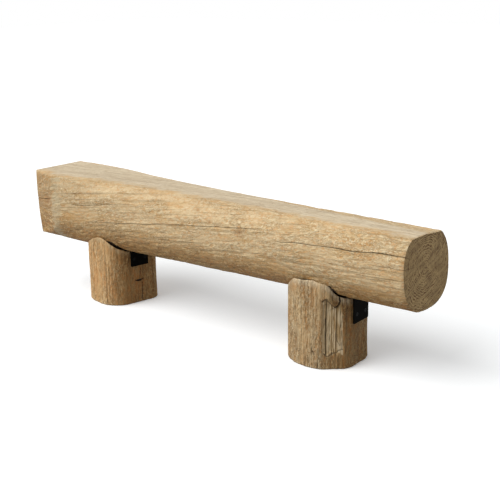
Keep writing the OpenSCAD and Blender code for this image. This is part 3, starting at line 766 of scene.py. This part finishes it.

# Marks are lines on the skin: points as degrees about the leg and height in mm, then half width and depth
# in mm, and the darkness of their painted shade
thinLeg = dict(legBlank, **{
    "node": "thin_leg", "axis": (0.534, -0.024), "seed": 21, "fluting": 1.8,
    "marks": (
        (((304.0, 178), (304.9, 140), (304.5, 100), (305.2, 54)), 1.8, 2.0, 0.9),
        (((299.1, 238), (301.8, 244), (306.4, 249), (310.1, 237), (315.5, 224), (320.1, 218)), 2.6, 4.0, 0.5),
        (((320.1, 218), (323.0, 220), (325.6, 227), (327.4, 239), (326.4, 250)), 3.6, 7.0, 1.0),
        (((315.4, 262), (314.6, 245)), 2.2, 2.5, 0.6),
        (((301.9, 228), (301.1, 190), (301.6, 173), (303.1, 131), (303.2, 88), (301.5, 52)), 1.5, 1.5, 0.4),
        (((301.5, 56), (306.0, 47), (311.0, 49), (316.5, 57), (322.0, 55), (326.3, 66), (331, 70)),
         2.0, 2.5, 0.65),
        (((330.3, 243), (331.6, 196), (329.2, 150), (331.0, 110), (330.3, 70)), 1.6, 1.4, 0.5),
        (((321.5, 122), (324.2, 98), (327.5, 84)), 1.4, 1.4, 0.6),
        (((309.5, 214), (311.8, 180), (311.0, 128), (312.6, 92)), 1.1, 1.4, 0.45),
        (((293.2, 76), (293.4, 40), (291.8, 4)), 1.7, 2.0, 0.75),
        (((336.0, 268), (337.0, 180), (335.5, 60)), 2.0, 1.2, 0.45),
        (((283.6, 60), (285.2, 55), (286.0, 50)), 3.0, 4.0, 0.7),
        (((243.0, 250), (243.5, 150)), 1.2, 1.0, 0.5),
        (((262.0, 240), (262.6, 120), (261.5, 40)), 1.2, 1.0, 0.5),
        (((190.0, 210), (191.0, 60)), 1.6, 2.5, 0.8),
        (((95.0, 240), (96.5, 90)), 1.6, 3.0, 0.9),
        (((40.0, 200), (39.0, 20)), 1.6, 2.5, 0.8),
    ),
    # where the corner was torn off: degrees, height, and its furrows as degrees, half width and depth
    "tornBed": ((299.0, 331.5), (50, 246),
                ((302.6, 1.1, 1.8), (304.9, 1.1, 5.2), (309.2, 0.8, 0.8), (314.9, 0.8, 2.7),
                 (318.3, 0.7, 1.0), (321.9, 0.9, 3.6), (327.6, 0.8, 0.8))),
    # the top of that corner stands proud above the tear: degrees, mm further out, mm higher at the rim, and
    # the height of the tear's edge
    "crown": ((286, 0, 0, 262), (292, 0.5, 3, 262), (298, 4, 10, 240), (302, 8, 17, 246),
              (306, 10.5, 21, 248), (310, 11, 19, 237), (315.5, 5, 7, 224), (320, 2, 1, 218),
              (325.6, 0.5, -3, 227), (330, 0, -3, 250), (345, 0, 0, 262)),
})
buttLeg = dict(legBlank, **{
    "node": "butt_leg", "axis": (-0.509, -0.006), "seed": 35, "fluting": 0.9,
    "marks": (
        (((347.0, 96), (351.0, 91.5), (355.6, 89.5), (360.5, 91), (366.0, 96.5)), 2.2, 6.0, 1.0),
        (((352.5, 92.5), (361.0, 93)), 4.0, 8.0, 1.0),
        (((363.0, 82), (363.2, 43), (361.1, 11)), 2.0, 3.0, 1.0),
        (((359.7, 146), (358.5, 120), (357.1, 97)), 1.8, 2.5, 0.8),
        (((366.0, 152), (366.4, 120)), 1.4, 2.0, 0.8),
        (((336.3, 215), (334.0, 190), (331.3, 158)), 1.2, 1.5, 0.6),
        (((290.0, 180), (291.0, 40)), 1.0, 1.0, 0.4),
        (((262.0, 200), (263.0, 120)), 1.0, 1.0, 0.4),
        (((180.0, 190), (181.5, 30)), 1.6, 3.0, 0.9),
        (((85.0, 220), (84.0, 60)), 1.6, 3.0, 0.9),
        (((120.0, 150), (121.0, 10)), 1.2, 2.0, 0.7),
    ),
    "tornBed": None,
    "crown": ((228, 0, 2, 200), (240, 0, 5, 200), (262, 1, 7, 200), (280, 0.5, 4, 200), (292, 0, 0, 200),
              (299, 0, -4, 200), (312, 0, -5, 200), (322, 0, -2, 200), (334, 0, 0, 200)),
})


def scoreMarks(marks, turnGrid, up, far):
    # depth of the marks, and darkness of their painted shade, at each point of the skin
    depth = np.zeros_like(far)
    dark = np.zeros_like(far)
    for line, half, deep, tint in marks:
        nearest = np.full_like(far, 1.0)
        for (turnA, upA), (turnB, upB) in zip(line, line[1:]):
            here = ((turnGrid - turnA + 180) % 360 - 180) * math.pi / 180 * far
            across = ((turnB - turnA + 180) % 360 - 180) * math.pi / 180 * far
            rise, height = (upB - upA) / 1000, up - upA / 1000
            share = np.clip((here * across + height * rise) / (across ** 2 + rise ** 2 + 1e-9), 0, 1)
            nearest = np.minimum(nearest, np.hypot(here - share * across, height - share * rise))
        shape = np.clip(1.3 - nearest / (half / 1000), 0, 1)
        depth = np.maximum(depth, deep / 1000 * shape)
        dark = np.maximum(dark, tint * np.clip(1.5 * shape - 0.2, 0, 1))
    return depth, dark


# How far the torn corner's side, its lower edge and its furrows stray: degrees, metres, degrees
tearStray = {"side": 5, "low": 0.016, "furrows": 1.8}


def tearCorner(values, degrees, up, tearEdge, pattern):
    # the torn corner: what it takes off the skin, painted shade in its deep furrows, and its weathered and
    # fresh wood
    (turnA, turnB), (upA, upB), furrows = values["tornBed"]
    cosTurn, sinTurn = np.cos(np.radians(degrees)), np.sin(np.radians(degrees))
    side = turnB + tearStray["side"] * (pattern["tornSide"] - 0.5)
    stray = cloud(cosTurn * 14, sinTurn * 14, up * 0, values["seed"] + 20) - 0.5
    lowEdge = upA / 1000 + tearStray["low"] * stray
    topEdge = np.minimum(upB / 1000, tearEdge)
    bed = (fade(degrees, turnA, turnA + 1) * fade(side - degrees, 0, 1)
           * fade(up - lowEdge, 0, 0.004) * fade(topEdge - up, 0, 0.004))
    here = degrees + tearStray["furrows"] * (pattern["drift"] - 0.5)
    furrow = sum(deep / 1000 * np.exp(-((here - turn) / half) ** 2) for turn, half, deep in furrows)
    taken = bed * (0.0025 + furrow + 0.0015 * fade(pattern["fine"], 0.4, 1))
    dark = 0.7 * bed * fade(furrow, 0.0021, 0.0044)
    weathered = 0.8 * bed * fade(furrow, 0.0015, 0) * fade(pattern["weathered"], 0.2, 0.7)
    return taken, dark, weathered, bed * (0.65 + 0.35 * pattern["clean"])


def makeLeg(name, values, wood):
    piece = roundBlank(name, values)
    ring, column, inward, rings = readPlaces(piece, values)
    columns = values["columns"]
    turns = np.radians(np.arange(columns) * 360 / columns)
    skin = skinOf(values["node"])
    out = np.stack([np.cos(turns), np.sin(turns), turns * 0], axis=-1)
    axis = np.array([*values["axis"], 0])
    above = np.array([0, 0, rayTop])

    # how high the side stands at each column, found just inside the skin
    waist = throwRays(skin, axis + out * rayStart + [0, 0, waistHeight], -out)
    wide = np.linalg.norm((waist - axis)[:, :2], axis=-1)
    falling = np.tile([0, 0, -1.0], (columns, 1))
    rim = [throwRays(skin, axis + out * (wide - inside)[:, None] + above, falling)[:, 2]
           for inside in (0.0015, 0.004, 0.010)]
    crown = np.array(values["crown"]).T
    proud, higher, tearEdge = (np.interp(np.degrees(turns), crown[0], row) / 1000 for row in crown[1:])
    rim = np.nanmax(rim, axis=0) + higher
    foot = values["footBevel"]
    shares = np.linspace(0, 1, rings + 1)
    up = foot + (rim - rimBevel - foot)[None, :] * shares[:, None]
    upright = np.stack([up * 0, up * 0, up], axis=-1)
    # the rays are thrown no higher than the solid's own rim
    aimed = upright.copy()
    aimed[..., 2] = np.minimum(up, (rim - rimBevel - np.maximum(higher, 0))[None, :])
    found = throwRays(skin, axis + out[None] * rayStart + aimed, np.tile(-out[None], (rings + 1, 1, 1)))
    dropIn(found, [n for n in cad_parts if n.endswith("_leg_screws")], 0.001)
    far = np.linalg.norm((found - axis)[..., :2], axis=-1)
    far[far < np.nanmedian(far, axis=0) - deepestHollow] = np.nan
    bridge(far, shares)

    # relief and marks
    degrees = np.tile(np.degrees(turns), (rings + 1, 1))
    pattern = {name: readPattern(values, name, up, degrees) for name in values["patterns"]}
    relief = sum(deep * fade(pattern[name], 0.45, 1) for name, deep in legRelief.items())
    relief += values["fluting"] / 1000 * fade(pattern["flutes"], 0.5, 1)
    depth, dark = scoreMarks(values["marks"], degrees, up, far)
    dark = dark * np.clip(0.45 + 1.1 * pattern["wander"], 0, 1)
    worn = np.zeros_like(far)
    sanded = np.zeros_like(far)
    if values["tornBed"]:
        taken, inFurrows, worn, sanded = tearCorner(values, degrees, up, tearEdge, pattern)
        relief += taken
        dark = np.maximum(dark, inFurrows)
    toRim = rim[None, :] - up
    rounding = rimRound - np.sqrt(rimRound ** 2 - np.clip(rimRound - toRim, 0, rimRound) ** 2)
    far = far - relief - depth - rounding * 0.8 + proud * fade(up - tearEdge, -0.002, 0.006)
    worn = np.maximum(worn, fade(rimPale - toRim, 0, 0.026) * (0.25 + 0.75 * pattern["rough"]))
    # painted shade: the side towards +X is darker, and darker still near the top under the log
    shadedSide = fade(np.cos(np.radians(degrees - shadedSideTurn)), 0.25, 0.85)
    under = shadedSide * (0.7 + 0.3 * fade(0.10 - toRim, 0, 0.10))
    spots = axis + out[None] * far[..., None] + upright

    places = spots[ring, column]
    for at in (0, rings):
        onEnd = (inward > 0) & (ring == at)
        level = inward[onEnd]
        size = far[at][column[onEnd]]
        bevel = rimBevel if at else foot
        keep = (size - bevel) / size * (1 - (level - 1) / values["capRings"])
        keep[level > values["capRings"]] = 0
        cap = axis + (spots[at][column[onEnd]] - axis) * keep[:, None]
        cap[:, 2] = 0
        if at:
            # the top lies in the saddle
            cap[:, 2] = throwRays(skin, cap + above, np.tile([0, 0, -1.0], (len(cap), 1)))[:, 2] - topSunk
            edge = rim[column[onEnd]] - topSunk
            cap[:, 2] = np.where(np.isnan(cap[:, 2]) | (level == 1), edge, cap[:, 2])
        places[onEnd] = cap
    piece.data.vertices.foreach_set("co", np.ascontiguousarray(places, np.float32).ravel())
    fields = {"check": dark, "worn": worn, "sanded": sanded, "under": under}
    fields = {name: grid[ring, column] * (inward < 2) for name, grid in fields.items()}
    onTop = (inward > 1) & (ring == rings)
    # painted shade on the leg's top where the log covers it
    covered = coverOf(values["node"], seatLog["joints"][values["node"]], places[onTop, 0], places[onTop, 1])
    fields["check"][onTop] = 0.92 * covered
    for part in ("agedAndShaded", "arris", "knot"):
        fields[part] = np.zeros(len(ring))
    barrel = turns[column]
    writeFields(piece, fields, np.stack([places[:, 2], values["radius"] * np.cos(barrel),
                                         values["radius"] * np.sin(barrel)], axis=-1))
    piece.data.materials.append(wood)
    piece.data.materials.append(sawnSpruceEnd("sawnSpruceFoot", endTone, (*values["axis"], 0), "Z"))
    for face in piece.data.polygons:
        onFoot = min(inward[v] for v in face.vertices) > 0 and ring[face.vertices[0]] == 0
        face.material_index = 1 if onFoot else 0
    finishWood(piece, values["node"])


makeLeg("thinLegWood", thinLeg, peeledSpruce("peeledSpruceThinLeg", thinLegTone))
makeLeg("buttLegWood", buttLeg, peeledSpruce("peeledSpruceButtLeg", buttLegTone))
print("legs shaped")


# Brackets and screws

# Sizes of the rubbed patches and of the paint's orange peel are in mm
stovePaint = {"base": "#090806", "rub": "#12100d", "patch": 16.67, "peel": 1.429, "roughness": 0.7,
              "specular": 0.02, "bump": 0.0002}
blackening = dict(stovePaint, base="#0f0d0b", rub="#1b1815", roughness=0.45, specular=0.05, bump=0.0001)


def blackSteel(name, tone):
    # flat steel under matt black stove paint: dull, faintly uneven, rubbed a little greyer in patches
    made, tree = emptyMaterial(name)
    place = addNode(tree, "ShaderNodeTexCoord").outputs["Object"]
    patches = addNode(tree, "ShaderNodeTexNoise", Vector=place, Scale=1000 / tone["patch"],
                      Detail=4).outputs["Fac"]
    share = addNode(tree, "ShaderNodeMapRange", Value=patches, From_Min=0.5, From_Max=0.75).outputs[0]
    colour = addNode(tree, "ShaderNodeMix", {"data_type": "RGBA"}, at0=share, at6=linearColour(tone["base"]),
                     at7=linearColour(tone["rub"])).outputs[2]
    peel = addNode(tree, "ShaderNodeTexNoise", Vector=place, Scale=1000 / tone["peel"],
                   Detail=2).outputs["Fac"]
    bump = addNode(tree, "ShaderNodeBump", Strength=0.5, Distance=tone["bump"], Height=peel)
    shade = addNode(tree, "ShaderNodeBsdfPrincipled", Base_Color=colour, Roughness=tone["roughness"], IOR=1.5,
                    Specular_IOR_Level=tone["specular"], Normal=bump.outputs[0])
    addNode(tree, "ShaderNodeOutputMaterial", Surface=shade.outputs[0])
    return made


paint = blackSteel("stovePaintedSteel", stovePaint)
blackened = blackSteel("blackenedScrewSteel", blackening)
for nodeName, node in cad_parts.items():
    if nodeName.endswith(("_bracket", "_screws")):
        node.data.materials.clear()
        node.data.materials.append(paint if nodeName.endswith("_bracket") else blackened)
print("steel painted")

bpy.context.scene.view_settings.view_transform = "Standard"
